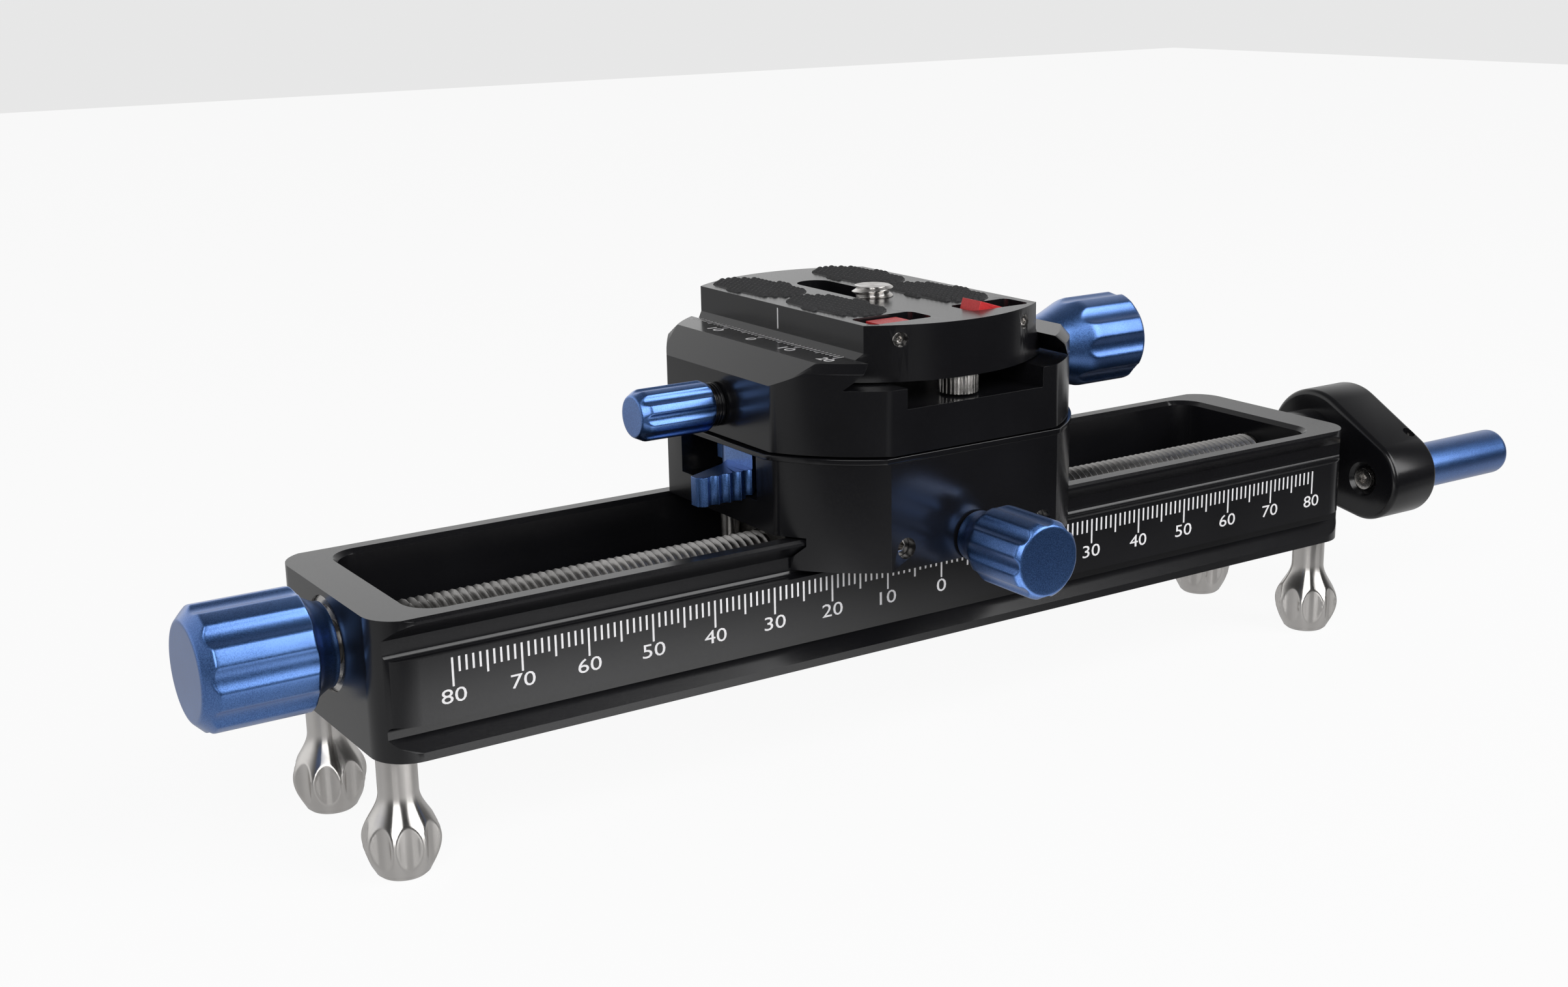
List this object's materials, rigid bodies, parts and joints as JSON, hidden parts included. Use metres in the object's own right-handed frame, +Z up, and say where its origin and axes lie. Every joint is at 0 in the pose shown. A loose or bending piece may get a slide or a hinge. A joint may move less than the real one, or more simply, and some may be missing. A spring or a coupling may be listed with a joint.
{
  "type": "macro focusing rail",
  "caption": "Manual macro focusing rail with a lead screw, a sliding carriage, a swivelling dovetail clamp and a quick-release camera plate.",
  "frame": {"origin": "mouth of the tripod socket, in the middle of the rail's underside", "axes": "+X along the rail to the crank, -Y out of the scale face, +Z up to the camera plate"},
  "size_m": [0.2445, 0.0723, 0.0691],
  "materials": {
    "black_anodised": "satin black anodised",
    "blue_anodised": "bead-blasted blue anodised",
    "stainless": "turned stainless steel",
    "steel": "bright steel",
    "screw_steel": "dark rolled thread",
    "brass": "machined",
    "rubber_pads": "matte moulded rubber",
    "red_plastic": "moulded red plastic"
  },
  "bodies": {
    "rail": {"rail_body": "black_anodised", "tripod_bush": "steel", "fine_bearing": "steel", "crank_bearing": "steel", "retaining_rings": "steel"},
    "foot_front_left": {"foot_front_left": "stainless"},
    "foot_front_right": {"foot_front_right": "stainless"},
    "foot_back_left": {"foot_back_left": "stainless"},
    "foot_back_right": {"foot_back_right": "stainless"},
    "screw": {"lead_screw": "screw_steel", "fine_knob": "blue_anodised", "crank_arm": "black_anodised", "grub_screws": "screw_steel", "handle_axle_screw": "steel"},
    "handle": {"crank_handle": "blue_anodised"},
    "carriage": {"carriage_body": "black_anodised", "turntable_disc": "black_anodised", "turntable_screws": "steel", "swivel_post": "steel", "gib_strip": "brass", "gib_set_screws": "steel", "lever_pin": "steel", "half_nut_spring": "steel"},
    "nut": {"half_nut": "screw_steel", "half_nut_pin": "steel"},
    "lever": {"release_lever": "blue_anodised"},
    "carriage_lock": {"lock_stud": "steel", "lock_knob": "blue_anodised"},
    "clamp": {"clamp_base": "black_anodised", "swivel_collar": "black_anodised", "jaw_guide_pins": "steel", "jaw_springs": "steel"},
    "swivel_lock": {"swivel_lock_knob": "blue_anodised", "swivel_stud": "steel", "swivel_plug": "brass"},
    "jaw": {"moving_jaw": "black_anodised"},
    "clamp_knob": {"clamp_knob": "blue_anodised", "clamp_screw": "steel"},
    "plate": {"quick_release_plate": "black_anodised", "rubber_pads": "rubber_pads", "plate_set_screws": "steel", "plate_stop_screw": "steel", "left_stop_pin": "steel", "right_stop_pin": "steel"},
    "screw_carrier": {"screw_washer": "steel"},
    "camera_screw": {"camera_screw": "steel"},
    "left_stop": {"left_stop": "red_plastic"},
    "right_stop": {"right_stop": "red_plastic"}
  },
  "joints": [
    {"name": "foot_front_left_turn", "type": "hinge", "parent": "rail", "child": "foot_front_left", "pos_m": [-0.0864, -0.0132, 0], "axis": [0, 0, 1], "continuous": true},
    {"name": "foot_front_right_turn", "type": "hinge", "parent": "rail", "child": "foot_front_right", "pos_m": [0.0864, -0.0132, 0], "axis": [0, 0, 1], "continuous": true},
    {"name": "foot_back_left_turn", "type": "hinge", "parent": "rail", "child": "foot_back_left", "pos_m": [-0.0864, 0.0132, 0], "axis": [0, 0, 1], "continuous": true},
    {"name": "foot_back_right_turn", "type": "hinge", "parent": "rail", "child": "foot_back_right", "pos_m": [0.0864, 0.0132, 0], "axis": [0, 0, 1], "continuous": true},
    {"name": "screw_turn", "type": "hinge", "parent": "rail", "child": "screw", "pos_m": [0, 0, 0.012], "axis": [1, 0, 0], "range_deg": [-12673, 15841]},
    {"name": "handle_spin", "type": "hinge", "parent": "screw", "child": "handle", "pos_m": [0.12, -0.0127, 0.0076], "axis": [1, 0, 0], "continuous": true},
    {"name": "carriage_slide", "type": "slide", "parent": "rail", "child": "carriage", "axis": [1, 0, 0], "range_m": [-0.055, 0.044]},
    {"name": "lever_turn", "type": "hinge", "parent": "carriage", "child": "lever", "pos_m": [-0.022, 0, 0.0275], "axis": [0, 0, -1], "range_deg": [0, 30.01]},
    {"name": "nut_lift", "type": "slide", "parent": "carriage", "child": "nut", "axis": [0, 0, 1], "range_m": [0, 0.0012], "deforming": ["half_nut_spring"]},
    {"name": "carriage_lock_turn", "type": "hinge", "parent": "carriage", "child": "carriage_lock", "pos_m": [0, -0.035, 0.018], "axis": [0, -1, 0], "range_deg": [0, 180]},
    {"name": "clamp_swivel", "type": "hinge", "parent": "carriage", "child": "clamp", "pos_m": [0, 0, 0.035], "axis": [0, 0, 1], "continuous": true},
    {"name": "swivel_lock_turn", "type": "hinge", "parent": "clamp", "child": "swivel_lock", "pos_m": [-0.035, 0, 0.03667], "axis": [-1, 0, 0], "range_deg": [0, 180]},
    {"name": "jaw_slide", "type": "slide", "parent": "clamp", "child": "jaw", "axis": [1, 0, 0], "range_m": [0, 0.003]},
    {"name": "clamp_turn", "type": "hinge", "parent": "jaw", "child": "clamp_knob", "pos_m": [0.03, 0, 0.0378], "axis": [1, 0, 0], "range_deg": [0, 1080.1]},
    {"name": "plate_slide", "type": "slide", "parent": "clamp", "child": "plate", "axis": [0, 1, 0], "range_m": [-0.02, 0.02]},
    {"name": "camera_screw_slide", "type": "slide", "parent": "plate", "child": "screw_carrier", "axis": [0, 1, 0], "range_m": [0, 0.0157]},
    {"name": "camera_screw_spin", "type": "hinge", "parent": "screw_carrier", "child": "camera_screw", "pos_m": [0, -0.0015, 0.045], "axis": [0, 0, 1], "continuous": true},
    {"name": "left_stop_fold", "type": "hinge", "parent": "plate", "child": "left_stop", "pos_m": [-0.0068, -0.0188, 0.0485], "axis": [0, 1, 0], "range_deg": [0, 18]},
    {"name": "right_stop_fold", "type": "hinge", "parent": "plate", "child": "right_stop", "pos_m": [0.0102, -0.0188, 0.0485], "axis": [0, 1, 0], "range_deg": [-18, 0]}
  ],
  "couplings": [
    {"joint": "screw_turn", "follows": "carriage_slide", "rad_per_m": -5026.5},
    {"joint": "lever_turn", "follows": "nut_lift", "rad_per_m": 436.33},
    {"joint": "clamp_turn", "follows": "jaw_slide", "rad_per_m": 6283.2}
  ]
}
